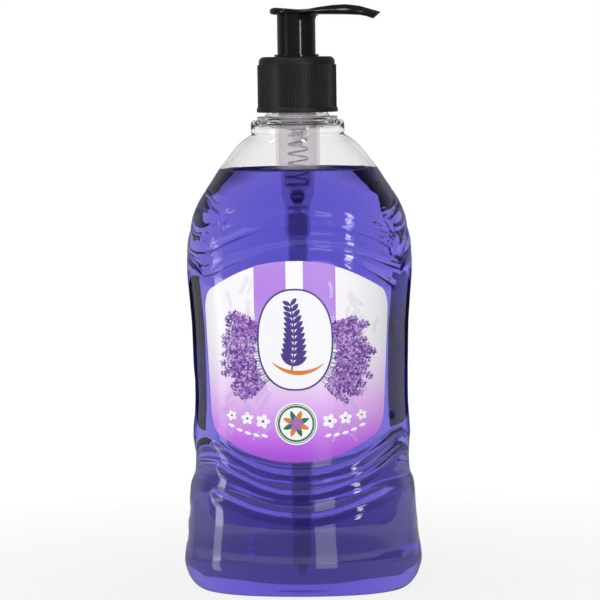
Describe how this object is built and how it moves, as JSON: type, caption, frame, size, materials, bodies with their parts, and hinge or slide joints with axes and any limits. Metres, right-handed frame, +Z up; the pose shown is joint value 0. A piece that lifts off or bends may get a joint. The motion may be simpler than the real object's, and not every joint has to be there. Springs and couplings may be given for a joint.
{
  "type": "liquid soap bottle",
  "caption": "Clear waisted bottle with arched relief, violet liquid soap, film label and black lotion pump that presses, turns and unscrews.",
  "frame": {"origin": "bottom centre of the overall box, on the floor under the pump's axis", "axes": "+Z up, the label faces -Y, the nozzle points to +X"},
  "size_m": [0.098, 0.0668, 0.2402],
  "materials": {
    "clear_pet": "clear, glossy blown PET",
    "violet_soap": "clear blue-violet liquid",
    "label_film": "printed film in white, pink and violet",
    "black_collar": "satin black polypropylene",
    "black_gloss": "glossy black polypropylene",
    "natural_pp": "natural translucent polypropylene",
    "white_seal": "white polyethylene",
    "steel": "bright stainless steel"
  },
  "bodies": {
    "bottle": {"bottle": "clear_pet", "liquid_soap": "violet_soap", "front_label": "label_film"},
    "pump": {"pump_housing": "natural_pp", "lock_collar": "black_gloss", "neck_gasket": "white_seal", "dip_tube": "natural_pp", "inlet_ball": "steel", "return_spring": "steel"},
    "collar": {"screw_collar": "black_collar"},
    "piston": {"piston": "white_seal"},
    "head": {"actuator_head": "black_gloss", "stem": "white_seal", "piston_rod": "white_seal"}
  },
  "joints": [
    {"name": "pump_rise", "type": "slide", "parent": "bottle", "child": "pump", "axis": [0, 0, 1], "range_m": [0, 0.00634]},
    {"name": "collar_turn", "type": "hinge", "parent": "pump", "child": "collar", "pos_m": [0, 0, 0.2], "axis": [0, 0, 1], "range_deg": [0, 540]},
    {"name": "pump_stroke", "type": "slide", "parent": "pump", "child": "piston", "axis": [0, 0, -1], "range_m": [0, 0.013], "stiffness_N_per_m": 1000, "springref_m": -0.007, "deforming": ["return_spring"]},
    {"name": "head_turn", "type": "hinge", "parent": "piston", "child": "head", "pos_m": [0, 0, 0.2], "axis": [0, 0, 1], "continuous": true}
  ],
  "couplings": [
    {"joint": "collar_turn", "follows": "pump_rise", "rad_per_m": 1485.4}
  ]
}
